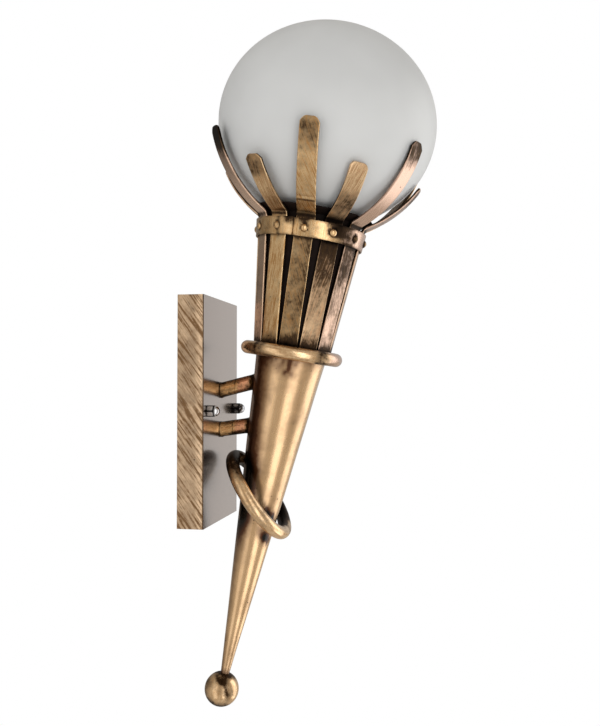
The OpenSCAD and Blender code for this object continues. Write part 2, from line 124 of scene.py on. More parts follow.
def gallery_r(z):
    return liner_r(z) - LINER_T - SKIN


def shaft_r(down):
    """Radius of the taper at a distance down from the neck ring."""
    return SHAFT_TOP_R - SHAFT_TAPER * down


# ---- placing
def leaning(points, degrees, place=NECK):
    """Points turned about the Y axis, so that local Z leans out by the angle, then moved to the place."""
    c, s = cos(radians(degrees)), sin(radians(degrees))
    return points @ np.array([[c, 0, -s], [0, 1, 0], [s, 0, c]]) + place


def turned_about_z(points, degrees):
    """Points turned about the Z axis."""
    c, s = cos(radians(degrees)), sin(radians(degrees))
    return points @ np.array([[c, s, 0], [-s, c, 0], [0, 0, 1]])


def on_shaft(points):
    return leaning(points, SHAFT_LEAN)


def on_head(points):
    return leaning(points, HEAD_LEAN)


def off_plate(points, y):
    """Points whose local Z stands straight out of the wall, at a place along it."""
    return points[..., [2, 1, 0]] + [0, y, 0]


# ---- surfaces
def fade(x, first, last):
    """A smooth step: 0 up to the first value, 1 from the last, 3t^2 - 2t^3 between them."""
    t = np.clip((x - first) / (last - first), 0, 1)
    return t * t * (3 - 2 * t)


def bump_at(x, place, width):
    """A bell curve of height 1 round a place."""
    return np.exp(-((x - place) / width) ** 2)


def soften(profile, radius, steps=4, closed=True):
    """A profile with short parabolas for corners, each starting and ending a radius from its corner, or
    less than half a side."""
    p = np.asarray(profile, float)
    before, after = np.roll(p, 1, 0), np.roll(p, -1, 0)
    back, on = np.linalg.norm(before - p, axis=1), np.linalg.norm(after - p, axis=1)
    cut = np.minimum(radius, 0.45 * np.minimum(back, on))[:, None]
    start = p + (before - p) / back[:, None] * cut
    end = p + (after - p) / on[:, None] * cut
    t = np.linspace(0, 1, steps + 1)[None, :, None]
    curve = (1 - t) ** 2 * start[:, None] + 2 * t * (1 - t) * p[:, None] + t ** 2 * end[:, None]
    if not closed:
        curve[0], curve[-1] = p[0], p[-1]
    return curve.reshape(-1, p.shape[1])


def refine(profile, longest, closed=True):
    """The same profile with its long sides divided evenly."""
    p = np.asarray(profile, float)
    q = np.roll(p, -1, 0) if closed else p[1:]
    a = p if closed else p[:-1]
    count = np.maximum(1, np.ceil(np.linalg.norm(q - a, axis=1) / longest)).astype(int)
    pieces = [a_i + (q_i - a_i) * np.arange(n)[:, None] / n for a_i, q_i, n in zip(a, q, count)]
    return np.concatenate(pieces if closed else pieces + [p[-1:]])


def circle(count):
    """Evenly spaced angles, once round."""
    return np.linspace(0, 2 * np.pi, count, endpoint=False)


def apart(angle, place=0.0):
    """How far an angle lies from a place on the circle, from -pi to pi."""
    return np.angle(np.exp(1j * (angle - place)))


def round_z(r, angle, z):
    """Points at a radius, an angle and a height round the Z axis."""
    return np.stack([r * np.cos(angle), r * np.sin(angle), z + 0 * angle], -1)


def lathe(profile, turns=96):
    """Each (radius, height) of a profile carried round the axis: rows follow it, columns the angle."""
    return round_z(profile[:, :1], circle(turns), profile[:, 1:])


def ends_twice(rows):
    """Rows with the first and the last repeated, to go with a capped grid."""
    return np.concatenate([rows[:1], rows, rows[-1:]])


def capped(grid):
    """A grid with one more row at each end, drawn together to a point, so that the skin closes."""
    ends = grid[[0, -1]].mean(1, keepdims=True) + 0 * grid[[0, -1]]
    return np.concatenate([ends[:1], grid, ends[1:]])


def shell(grid, wrap_rows=False, tarnish_and_shade=0.0, blush=0.0, turn=0.0):
    """Arrays for a skin over a grid that closes round its columns: vertices, four-sided faces, the surface's
    own coordinates in metres, turned by an angle, and two values for each vertex. A coordinate is the mean
    length of the paths down the rows, or round a row."""
    rows, columns = grid.shape[:2]
    i, j = np.indices((rows - (not wrap_rows), columns)).reshape(2, -1)
    corners = np.stack([i, j], 1)[:, None] + [[0, 0], [0, 1], [1, 1], [1, 0]]
    faces = (corners[..., 0] % rows) * columns + corners[..., 1] % columns
    step = np.linalg.norm(np.diff(grid, axis=0, append=grid[:1]), axis=2)
    row_len = np.concatenate([[0], np.cumsum(step.mean(1))])
    step = np.linalg.norm(np.diff(grid, axis=1, append=grid[:, :1]), axis=2)
    column_len = np.concatenate([[0], np.cumsum(step.mean(0))])
    u, v = row_len[corners[..., 0]] * MM, column_len[corners[..., 1]] * MM
    c, s = cos(radians(turn)), sin(radians(turn))
    uv = np.stack([c * u - s * v, s * u + c * v], -1)
    both = [np.broadcast_to(value, (rows, columns)).ravel() for value in (tarnish_and_shade, blush)]
    return grid.reshape(-1, 3), faces, uv, *both


def linked(name, data):
    """A new object in the scene."""
    made = bpy.data.objects.new(name, data)
    bpy.context.scene.collection.objects.link(made)
    return made


def finished(mesh, name, material, body, stands_for):
    """The object of a finished mesh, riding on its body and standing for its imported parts."""
    made = linked(name, mesh)
    mesh.materials.append(material)
    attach(made, body)
    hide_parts(*stands_for)
    return made


def piece(name, skins, material, stands_for, body="sconce", crease=40.0):
    """One finished object from some skins: doubles merged, so that poles and ends close, faces outward,
    shaded smoothly up to the crease angle."""
    outward, base = [], 0
    for v, f, uv, tarnish_and_shade, blush in skins:
        corner = v[f]
        volume = sum(np.einsum("ij,ij->i", corner[:, 0], np.cross(corner[:, k], corner[:, k + 1])).sum()
                     for k in (1, 2))
        if volume < 0:
            f, uv = f[:, ::-1], uv[:, ::-1]
        outward.append((v, f + base, uv, tarnish_and_shade, blush))
        base += len(v)
    verts, faces, uvs, tarnish_and_shade, blush = [np.concatenate(column) for column in zip(*outward)]
    mesh = bpy.data.meshes.new(name)
    mesh.from_pydata((verts * MM).tolist(), [], faces.tolist())
    mesh.uv_layers.new(name="surface").data.foreach_set("uv", uvs.astype(np.float32).ravel())
    for key, values in (("tarnish_and_shade", tarnish_and_shade), ("blush", blush)):
        mesh.attributes.new(key, "FLOAT", "POINT").data.foreach_set("value", values.astype(np.float32))
    shaped = bmesh.new()
    shaped.from_mesh(mesh)
    bmesh.ops.remove_doubles(shaped, verts=shaped.verts, dist=2e-6)
    bmesh.ops.dissolve_degenerate(shaped, edges=shaped.edges, dist=1e-7)
    shaped.to_mesh(mesh)
    shaped.free()
    mesh.shade_smooth()
    mesh.set_sharp_from_angle(angle=radians(crease))
    finished(mesh, name, material, body, stands_for)


def rounded_copy(node, name, material, edge):
    """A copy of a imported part, its doubles merged and its flat faces joined, with its edges rounded over."""
    packed = nodes[node].data
    points = np.empty(3 * len(packed.vertices), np.float32)
    packed.vertices.foreach_get("co", points)
    mesh = bpy.data.meshes.new(name)
    mesh.from_pydata(points.reshape(-1, 3).tolist(), [], [tuple(face.vertices) for face in packed.polygons])
    shaped = bmesh.new()
    shaped.from_mesh(mesh)
    bmesh.ops.remove_doubles(shaped, verts=shaped.verts, dist=1e-6)
    bmesh.ops.dissolve_limit(shaped, verts=shaped.verts, edges=shaped.edges, angle_limit=radians(0.5))
    shaped.to_mesh(mesh)
    shaped.free()
    mesh.shade_smooth()
    made = finished(mesh, name, material, "sconce", [node])
    bevel = made.modifiers.new("edges", "BEVEL")
    bevel.width, bevel.segments, bevel.limit_method = edge * MM, 3, "ANGLE"
    bevel.angle_limit, bevel.harden_normals, bevel.use_clamp_overlap = radians(35), True, True
    return made


def waves(shape, seed, cells, amount):
    """Smooth unevenness: a coarse grid of seeded random values, stretched over the shape by cosine blends and
    joined up across its last column."""
    coarse = np.random.default_rng(seed).uniform(-1, 1, (cells[0] + 1, cells[1]))
    u = np.linspace(0, cells[0] - 1e-6, shape[0])
    v = np.linspace(0, cells[1], shape[1], endpoint=False)
    iu, iv = u.astype(int), v.astype(int)
    fu, fv = [(0.5 - 0.5 * np.cos(np.pi * (x - x.astype(int)))) for x in (u, v)]
    top, low = [coarse[row][:, iv] * (1 - fv) + coarse[row][:, (iv + 1) % cells[1]] * fv
                for row in (iu, iu + 1)]
    return amount * (top * (1 - fu[:, None]) + low * fu[:, None])


# ---- materials
WHITE, CREAM = (1.0, 1.0, 1.0, 1.0), (1.0, 0.91, 0.78, 1.0)
NOISE = ("Vector", "Scale", "Detail", "Roughness")


def rgb(code):
    """A linear colour with alpha, from an sRGB hex value."""
    value = np.array([int(code[i:i + 2], 16) for i in (1, 3, 5)]) / 255
    linear = np.where(value <= 0.04045, value / 12.92, ((value + 0.055) / 1.055) ** 2.4)
    return (*linear, 1.0)


def add_node(tree, kind, inputs=(), ramp=(), **settings):
    """Adds one shader node. Its inputs come in their order or by name, each a value or another node's
    output; ramp gives the place and colour of a colour ramp's two stops."""
    made = tree.nodes.new("ShaderNode" + kind)
    for key, value in settings.items():
        setattr(made, key, value)
    for key, value in inputs.items() if isinstance(inputs, dict) else enumerate(inputs):
        if isinstance(value, bpy.types.Node):
            value = next(socket for socket in value.outputs if socket.enabled)
        if isinstance(value, bpy.types.NodeSocket):
            tree.links.new(value, made.inputs[key])
        else:
            made.inputs[key].default_value = value
    if ramp:
        for stop, (place, colour) in zip(made.color_ramp.elements, ramp):
            stop.position, stop.color = place, colour
    return made


def node_adder(owner):
    """Empties the node tree of a material or world, and gives the function that adds nodes to it."""
    owner.use_nodes = True
    owner.node_tree.nodes.clear()
    return functools.partial(add_node, owner.node_tree)


def sums(add, *terms):
    """A chain of multiply-adds: each term is (value, factor), and the last one a number."""
    total = terms[-1]
    for value, factor in terms[:-1]:
        total = add("Math", [value, factor, total], operation="MULTIPLY_ADD")
    return total


def front_edge(add, place, first, last):
    """Rises from 0 to 1 between two distances, in mm, from the plate's front edge."""
    x = add("SeparateXYZ", [place]).outputs["X"]
    return add("MapRange", [x, (PLATE_D - first) * MM, (PLATE_D - last) * MM])


def patinated_brass(name, light, middle, dark, patina, gloss, brush, streaks, turn=(0, 0, 0), cloud=13.0,
                    own_surface=True, depth=0.02, lacquer=0.0, blend=0.5, rosy="#c9ab9a", speckle=0.6,
                    rim=0.0, coat_rough=0.09):
    """Hand-brushed brass, darkened with liver of sulphur, rubbed back and waxed: streaks along the brushing,
    brown clouds of patina, black where the tarnish attribute runs high, which paints shade as well as patina,
    and small dark pits. The brush gives the strokes' length and width in mm, twice as wide as real ones, so
    that they show, and the cloud the patches' size."""
    made = bpy.data.materials.new(name)
    add = node_adder(made)
    solid = add("TexCoord").outputs["Object"]
    place = add("UVMap", uv_map="surface") if own_surface else solid
    stroke = add("Mapping", {"Vector": place, "Rotation": [radians(a) for a in turn]})
    along, across = 1000 / brush[0], 1000 / brush[1]
    stretched = add("VectorMath", [stroke, (along, across, across)], operation="MULTIPLY")
    finer = add("VectorMath", [stretched, (2.0, 3.1, 3.1)], operation="MULTIPLY")
    # the mottle's spots are 3 mm wide
    strokes, scratches, clouds, mottle = [add("TexNoise", dict(zip(NOISE, values))) for values in (
        (stretched, 1.0, 3.0, 0.6), (finer, 1.0, 2.0, 0.6), (solid, 1000 / cloud, 5.0, 0.62),
        (solid, 330.0, 3.0, 0.6))]
    # the tarnish attribute holds patina and painted shade, the blush attribute a rosy cast
    worn_and_shaded, pink = [add("Attribute", attribute_name=key).outputs["Fac"] for key in ("tarnish_and_shade", "blush")]
    # a painted highlight beside the sheet's front edge, and a painted dark line along the edge itself
    edges = [(front_edge(add, solid, *between), share * rim)
             for between, share in (((1.5, 0.5), 1.4), ((8, 4), -0.4)) if rim]
    dull = sums(add, (clouds, 1.0), (strokes, streaks), (mottle, speckle), (worn_and_shaded, 1.0), *edges,
                -0.5 * (streaks + speckle))
    half_covered = 0.88 - patina
    cover = add("MapRange", [dull, half_covered - blend / 2, half_covered + blend / 2])
    tone = sums(add, (strokes, streaks), (mottle, 0.6 * speckle), 0.5 - 0.5 * streaks - 0.3 * speckle)
    metal = add("ValToRGB", [tone], ramp=[(0.34, rgb(middle)), (0.66, rgb(light))])
    warm = add("Mix", {"Factor": pink, "A": metal, "B": rgb(rosy)}, data_type="RGBA")
    lifted = tuple(0.8 * a + 0.2 * b for a, b in zip(rgb(dark), rgb(middle)))
    deep = add("ValToRGB", [tone], ramp=[(0.40, rgb(dark)), (0.85, lifted)])
    # pits and specks of black, 6 mm apart, only where the clouds are dense
    spots = add("TexVoronoi", {"Vector": solid, "Scale": 170.0})
    pit = add("Math", [add("MapRange", [spots, 0.05, 0.16, 1.0, 0.0]), add("MapRange", [clouds, 0.53, 0.62])],
              operation="MULTIPLY")
    # the patina and painted shade over the metal, nearly black where they lie thickest, and the pits in it
    colour = warm
    for share, over in ((cover, deep), (add("MapRange", [dull, 1.25, 1.75]), rgb("#0c0806")),
                        (pit, rgb("#24170d"))):
        colour = add("Mix", {"Factor": share, "A": colour, "B": over}, data_type="RGBA")
    height = sums(add, (scratches, streaks), (strokes, streaks), (mottle, speckle), (pit, -1.0), 0.0)
    shader = add("BsdfPrincipled", {
        "Base Color": colour, "Metallic": 1.0, "Coat Weight": lacquer, "Coat Roughness": coat_rough,
        "Roughness": sums(add, (cover, 0.24), (scratches, 0.12), gloss - 0.06),
        "Normal": add("Bump", {"Height": height, "Strength": 0.35, "Distance": depth * MM})})
    add("OutputMaterial", [shader])
    return made


def plain_finish(name, colour, rough, mottle, metallic=0.0, grit=0.8, lacquer=0.0, shine=0.5):
    """A small part's own finish: its colour varies a little in 11 mm clouds, and a fine grain of about the
    given millimetres breaks up the gloss."""
    made = bpy.data.materials.new(name)
    add = node_adder(made)
    place = add("TexCoord").outputs["Object"]
    clouds, speckle = [add("TexNoise", dict(zip(NOISE, values))) for values in (
        (place, 90.0, 4.0, 0.6), (place, 1000 / grit, 3.0, 0.6))]
    base = np.array(rgb(colour)[:3])
    shades = [(*np.clip(base * k, 0, 1), 1.0) for k in (1 - 2 * mottle, 1 + mottle)]
    shader = add("BsdfPrincipled", {
        "Base Color": add("ValToRGB", [clouds], ramp=[(0.3, shades[0]), (0.7, shades[1])]),
        "Metallic": metallic, "Coat Weight": lacquer, "Specular IOR Level": shine,
        "Roughness": add("MapRange", [speckle, 0.0, 1.0, max(rough - 0.06, 0.02), rough + 0.08]),
        "Normal": add("Bump", {"Height": speckle, "Strength": 0.3, "Distance": 0.01 * MM})})
    add("OutputMaterial", [shader])
    return made


BRASS = dict(light="#ebcfa4", middle="#b88e5e", dark="#2b211b")
spun_brass = patinated_brass(
    "spun_brass_waxed", "#dfc19b", "#c8a277", "#4a230d", patina=0.05, gloss=0.26, brush=(60.0, 2.0),
    streaks=0.25, cloud=24.0, depth=0.006, blend=0.75, speckle=0.16, lacquer=0.45, coat_rough=0.14)
strap_brass = patinated_brass(
    "hand_brushed_brass_strap", **BRASS, patina=0.16, gloss=0.28, streaks=1.35, brush=(18.0, 1.1), blend=0.62,
    depth=0.03, rosy="#c6aa9c")
rod_brass = patinated_brass(
    "bent_brass_rod", "#f6dab4", "#b38c62", "#24160c", patina=0.10, gloss=0.23, brush=(25.0, 1.6),
    streaks=0.45, cloud=8.0)
band_brass = patinated_brass(
    "hand_brushed_brass_band", **BRASS, patina=0.08, gloss=0.26, brush=(20.0, 1.0), turn=(0, 0, 90),
    streaks=0.6, cloud=7.0, blend=0.55, depth=0.03)
arm_brass = patinated_brass(
    "brazed_brass_arm", "#eac592", "#a97a4a", "#1a0d04", patina=0.18, gloss=0.26, brush=(18.0, 1.2),
    streaks=0.6, cloud=5.0, blend=0.42, rosy="#d4987a", speckle=0.9)
# rim paints a highlight beside the plate's front edge and a dark line along it
side_bronze = patinated_brass(
    "brushed_bronze_sheet", "#f0d4b4", "#7c6045", "#3f2c1e", patina=0.14, gloss=0.38, brush=(34.0, 2.0),
    turn=(0, -55, 0), streaks=1.6, own_surface=False, depth=0.03, cloud=18.0, blend=0.85, rim=0.7)
face_bronze = patinated_brass(
    "lacquered_bronze_face", "#b5a08f", "#a99483", "#5b4a40", patina=-0.10, gloss=0.24, brush=(60.0, 1.5),
    streaks=0.1, own_surface=False, depth=0.002, lacquer=1.0, coat_rough=0.13)
worn_nickel = patinated_brass(
    "nickel_plate_grimy", "#dadce4", "#bbbcc2", "#0f0d0b", patina=0.08, gloss=0.14, brush=(8.0, 0.8),
    streaks=0.3, cloud=4.0, blend=0.35, own_surface=False)

# blown opal glass, satin-etched outside: milky all through in 70 mm clouds, with a 0.4 mm etched grain
opal_glass = bpy.data.materials.new("satin_opal_glass")
add = node_adder(opal_glass)
place = add("TexCoord").outputs["Object"]
milk, etch = [add("TexNoise", dict(zip(NOISE, (place, scale, 2.0, 0.6)))) for scale in (14.0, 2500.0)]
add("OutputMaterial", [add("BsdfPrincipled", {
    "Base Color": add("ValToRGB", [milk], ramp=[(0.3, rgb("#cbcbc9")), (0.7, rgb("#d2d2d0"))]),
    "Roughness": add("MapRange", [etch, 0.0, 1.0, 0.40, 0.52]), "IOR": 1.5,
    "Normal": add("Bump", {"Height": etch, "Strength": 0.1, "Distance": 0.01 * MM}),
    "Subsurface Weight": 0.25, "Subsurface Radius": (1.0, 1.0, 1.0), "Subsurface Scale": 0.006})])

frosted_bulb = plain_finish("frosted_bulb_glass", "#efefec", 0.45, 0.01)
nickel = plain_finish("nickel_plate", "#cfcecb", 0.14, 0.10, metallic=1.0, grit=0.5)
zinc = plain_finish("zinc_plate", "#a9abad", 0.38, 0.18, metallic=1.0)
turned_brass = plain_finish("turned_brass", "#d3b06a", 0.28, 0.08, metallic=1.0)
black_tin = plain_finish("blackened_sheet", "#180e0a", 0.70, 0.3, shine=0.1)
porcelain = plain_finish("glazed_porcelain", "#e8e4da", 0.18, 0.02, lacquer=0.5)
polyamide = plain_finish("moulded_polyamide", "#dcd7c8", 0.45, 0.02)
rubber = plain_finish("matt_rubber", "#1d1b1b", 0.75, 0.1)

# ---- globe, shaft and ball
def ellipse(shrink, low):
    """Half outline of the flattened globe, from its top to a neck radius: (a cos t, b sin t)."""
    a, b = GLOBE_R - shrink, GLOBE_HALF_H - shrink
    t = np.linspace(pi / 2, -acos(low / a), 72)
    line = np.stack([a * np.cos(t), GLOBE_RISE + b * np.sin(t)], 1)
    line[0, 0] = 0
    return line


outside, inside = ellipse(0, NECK_R), ellipse(GLASS_T, NECK_R - GLASS_T)
foot = soften([outside[-1], [NECK_R, GLASS_Z], [NECK_R - GLASS_T, GLASS_Z], inside[-1]], 1.2, closed=False)
globe_line = np.concatenate([outside[:-1], foot, inside[::-1][1:]])
piece("globe_glass", [shell(on_head(lathe(globe_line, 160)))], opal_glass, ["globe"], "globe")

down = np.linspace(COLLAR_T, SHAFT_L, 160)
skin_line = np.stack([shaft_r(down), -down], 1)[::-1]
bore_r, bore_end = SHAFT_TOP_R - SHAFT_T, PLUG_L - SHAFT_L
collar = soften([[shaft_r(COLLAR_T), -COLLAR_T], [COLLAR_R, -COLLAR_T], [COLLAR_R, 0.0], [bore_r, 0.0]], 0.6,
                closed=False)
bore = refine([[bore_r, 0.0], [shaft_r(-bore_end) - SHAFT_T, bore_end], [0, bore_end]], 6.0, closed=False)
grid = lathe(np.concatenate([[[0, -SHAFT_L]], skin_line, collar[1:], bore[1:]]), 144)
# the sheet is not quite round: shallow dents, none at its rim and tip
outer, size = (np.arange(len(grid)) <= len(skin_line))[:, None], grid.shape[:2]
drop, side = -grid[..., 2], np.degrees(np.arctan2(grid[..., 1], grid[..., 0]))
radius = np.maximum(np.hypot(grid[..., 0], grid[..., 1]), 1)
dents = (waves(size, 3, (14, 9), 0.10) - 0.10) * fade(drop, 4, 24) * fade(SHAFT_L - drop, 4, 24)
grid[..., :2] *= (1 + outer * dents / radius)[..., None]
# patina is left at the tip and where the torch burnt it; the wall side is darker, as patina and painted shade,
# with painted shadows under the collar and beside the slanted ring, in its plane and 15 mm from it
LOOP_HIGH_R, slant = shaft_r(LOOP_DROP) + LOOP_GAP + ROD_R, radians(LOOP_SLANT)
off_loop = (grid[..., 0] + LOOP_HIGH_R) * sin(slant) + (LOOP_DROP - drop) * cos(slant)
wall_side = fade(np.abs(side) + waves(size, 5, (16, 10), 5.0), 86 + 16 * fade(drop, 150, 190), 138)
burn = bump_at(drop, 13, 8) * bump_at(side, -80, 14) * np.clip(0.75 + waves(size, 9, (80, 64), 0.6), 0.1, 1.3)
patches = 0.86 * wall_side * (1 - 0.75 * fade(drop, 152, 185)) + 0.85 * burn \
    + 0.8 * np.exp(-np.clip(drop - COLLAR_T, 0, None) / 4) + 0.5 * bump_at(drop, SHAFT_L, 5) \
    + 0.9 * bump_at(off_loop, -10, 26) * fade(-side, 78, 120) + 0.12 * waves(size, 6, (9, 7), 1.0)
uneven = np.clip(0.75 + waves(size, 8, (90, 60), 0.5), 0.2, 1.2)
# painted shadows of the slanted ring on the taper, in its plane and 15 mm from it, fading towards the front
for off, width, first, last, weaker in ((0, 5, -88, -46, -40), (-15, 4.5, -84, -40, -35)):
    patches += 1.5 * bump_at(off_loop, off, width) * fade(side, first, last) \
        * (1 - 0.8 * fade(side, weaker, 0)) * uneven
piece("shaft_taper", [shell(on_shaft(grid), tarnish_and_shade=patches)], spun_brass, ["shaft"])

BALL_DROP = sqrt(BALL_R ** 2 - SHAFT_TIP_R ** 2)
t = np.linspace(pi, acos(BALL_DROP / BALL_R), 64)
hole_r, hole_end = FINIAL_STUD_D / 2 + HOLE, BALL_DROP - FINIAL_STUD_L - 0.5
ball_line = np.concatenate([np.stack([BALL_R * np.sin(t), BALL_R * np.cos(t)], 1),
                            [[hole_r, BALL_DROP], [hole_r, hole_end], [0, hole_end]]])
ball_line[0, 0] = 0
grid = lathe(ball_line, 112)
x, y, z = np.moveaxis(grid, -1, 0)
# dark at the tip's joint; painted shade below and on the wall side, and a painted dark reflection as a
# crescent on the front
patches = 0.7 * fade(z, 10.5, BALL_DROP + 1) + 0.9 * fade(-z, 6, 14) + 0.55 * fade(-x - 0.5 * z, 4, 17) \
    + 0.5 * bump_at(np.hypot(x + 3, z + 1), 12, 2.8) * fade(-y, 0, 5) * fade(x + z, 2, 8) \
    + 0.22 * waves(z.shape, 8, (9, 12), 1.0)
piece("finial_ball", [shell(on_shaft(grid - [0, 0, SHAFT_L + BALL_DROP]), tarnish_and_shade=patches)], rod_brass,
      ["ball_finial"])


# ---- rings
def rod_ring(seed, seam, dark_side, dark_inside=0.6, wide=0.42):
    """A bent rod: a circle carried round a circle, its radius wandering a little, with a filed weld where
    its ends meet. Gives the grid, its patina and painted shade, and its angles."""
    around, tube = circle(200)[:, None], circle(40)
    weld, dark = [bump_at(apart(around, radians(at)), 0, width)
                  for at, width in ((seam, 0.05), (dark_side, wide))]
    rod = ROD_R - 0.10 + waves((40, 200), seed, (4, 22), 0.08).T + 0.10 * weld * (1 + 0.4 * np.sin(5 * tube))
    grid = round_z(RING_R + rod * np.cos(tube), around, rod * np.sin(tube))
    # painted shade on the ring's inner side, and the given side darker, as patina and painted shade
    patches = 0.3 * weld + dark_inside * np.clip(-np.cos(tube), 0, 1) ** 2 + 0.8 * dark \
        + 0.2 * waves(rod.shape, seed + 3, (18, 4), 1.0)
    return grid, patches, np.degrees(around)


grid, patches, angle = rod_ring(11, 236, 180)
# patina patches, and a painted highlight along the ring round 284 degrees
for at, width, amount in ((318, 10, 0.55), (244, 24, 0.26), (284, 20, -0.4), (200, 26, -0.35)):
    patches += amount * bump_at(angle, at, width)
rosy_end = 0.9 * (fade(angle, 322, 336) + 1 - fade(angle, 20, 60))
piece("ring_at_neck", [shell(on_head(grid), wrap_rows=True, tarnish_and_shade=patches, blush=rosy_end)], rod_brass,
      ["neck_ring"])
grid, patches, angle = rod_ring(12, 150, 185, 1.1, 0.9)
patches += 0.9 * bump_at(angle, 62, 38)
grid = leaning(grid + [RING_R, 0, 0], LOOP_SLANT, [-LOOP_HIGH_R, 0, -LOOP_DROP])
# the lug from the ring's high side to the taper: a short bar whose radius swells at both ends
reach = np.linspace(shaft_r(LOOP_DROP) - 0.9, LOOP_HIGH_R - 2, 30)
swell = 1.3 * np.exp(-(reach - reach[0]) / 1.1) + 1.4 * np.exp((reach - LOOP_HIGH_R + ROD_R) / 2)
lug = capped(lathe(np.stack([np.minimum(3.6 + swell, 5.4), reach], 1), 40))
lug = lug[..., [2, 1, 0]] * [-1, 1, 1] - [0, 0, LOOP_DROP]
piece("ring_on_slant", [shell(on_shaft(grid), wrap_rows=True, tarnish_and_shade=patches),
                        shell(on_shaft(lug), tarnish_and_shade=0.7)], rod_brass, ["slanted_ring"])


# ---- straps
def strap_line(tip, depth=STRAP_T / 2, ease=3.5):
    """Middle line of a strap as radius and height, with its outward normals and lengths: a straight leg, a
    short parabola through the bend, and an arc round the cage's middle to the tip's angle."""
    radius = FINGER_R - depth
    corner_at = leg_to(depth, radius)
    corner = leg_point(depth, corner_at)
    leg = leg_point(depth, np.linspace(0, corner_at - ease, 48)).T
    first = atan2(corner[0], CAGE_RISE - corner[1])
    a = np.linspace(first + ease / radius, radians(tip), 90)
    arc = np.stack([radius * np.sin(a), CAGE_RISE - radius * np.cos(a)], 1)
    t = np.linspace(0, 1, 14)[1:-1, None]
    bend = (1 - t) ** 2 * leg[-1] + 2 * t * (1 - t) * corner + t ** 2 * arc[0]
    line = np.concatenate([leg, bend, arc])
    slope = np.gradient(line, axis=0)
    slope /= np.linalg.norm(slope, axis=1)[:, None]
    length = np.concatenate([[0], np.cumsum(np.linalg.norm(np.diff(line, axis=0), axis=1))])
    return line, np.stack([slope[:, 1], -slope[:, 0]], 1), length


# the bar's cross-section, point by point: its side (-1 to 1), its face (1 outer, -1 inner), and how far round
# its quarter curve it lies, sideways and outwards
quarter = np.linspace(0, np.pi / 2, 5)
flat, ones, sine, cosine = np.linspace(-1, 1, 9)[1:-1], np.ones(5), np.sin(quarter), np.cos(quarter)
SIDE = np.concatenate([flat, ones, ones, flat[::-1], -ones, -ones])
FACE = np.repeat([1.0, 1.0, -1.0, -1.0, -1.0, 1.0], [7, 5, 5, 7, 5, 5])
EDGE_OUT = np.concatenate([0 * flat, sine, cosine, 0 * flat, -sine, -cosine])
EDGE_UP = np.concatenate([np.ones(7), cosine, -sine, -np.ones(7), -cosine, sine])


def strap_angle(k):
    """The direction in which a strap stands off the cage's axis, in degrees."""
    return STRAP_TURN + 360 / STRAPS * k - 90


def strap_grid(tip, corner, seed, weld, edge=0.7):
    """A rounded rectangle carried along a strap's line, its width closing over the tip's cut corners. The
    edges wander a little, the faces are lightly hammered, and the finger may have a weld seam."""
    line, normal, length = strap_line(tip)
    total, bend = length[-1], leg_to(STRAP_T / 2, FINGER_R - STRAP_T / 2)
    # rows are close together at both ends, where the bar rounds off
    s = np.concatenate([[0, 0.15, 0.4, edge], np.linspace(1.2, total - corner - 0.3, 170),
                        np.linspace(total - corner, total - edge, 9), [total - 0.4, total - 0.15, total]])
    at = [np.interp(s, length, column)[:, None] for column in (*line.T, *normal.T)]
    draw = np.random.default_rng(seed)
    cut, rounding = np.clip(s - (total - corner), 0, None), draw.uniform(0.1, 0.6)
    arc = corner * (1 - np.sqrt(1 - np.clip(cut / corner, 0, 0.98) ** 2))
    half = (STRAP_W / 2 - (1 - rounding) * cut - rounding * arc)[:, None]
    inset = (np.clip(1 - np.minimum(s, total - s) / edge, 0, 1) ** 2 * edge)[:, None]
    wander = [np.interp(s, np.linspace(0, total, 12), draw.uniform(-0.24, 0, 12))[:, None] for _ in range(2)]
    across = SIDE * (half - edge - inset) + edge * EDGE_OUT
    across += np.where(SIDE > 0, wander[0], -wander[1]) * (np.abs(SIDE) > 0.9)
    thick = FACE * (STRAP_T / 2 - edge) + edge * EDGE_UP - 0.6 * inset * FACE
    flats = np.abs(SIDE) < 0.9
    thick += (waves((len(s), len(SIDE)), seed + 40, (16, 4), 0.05) - 0.03) * flats
    seam = bend + 19.0
    bead = weld * 0.4 * (bump_at(s, seam, 0.9) - 0.5 * bump_at(s, seam + 2, 0.8))
    thick += bead[:, None] * (FACE > 0)
    grid = np.stack([at[0] + thick * at[2], across, at[1] + thick * at[3]], -1)
    s = s[:, None]
    arris = (FACE > 0) * (EDGE_UP < 0.98) * (EDGE_UP > 0.2)  # rubbed bright along the outer corners
    # darker just below the bend and beside the weld; painted shade at the foot against the ring, under the
    # band's lower edge and on the inner face, darkest on its sides; the outer corners rubbed bright
    patches = 0.8 * bump_at(s, bend - 1, 2.6) + 1.5 * np.exp(-s / 5) \
        + 0.6 * bump_at(s, bend - BAND_DROP - BAND_H, 2.5) + weld * 0.6 * bump_at(s, seam - 1.6, 1.0) \
        + (0.1 + 0.6 * (np.abs(SIDE) == 1)) * (FACE < 0) - 0.45 * arris \
        + waves((len(s), len(SIDE)), seed + 80, (9, 3), 0.16)
    return capped(grid), ends_twice(s), total, bend, patches
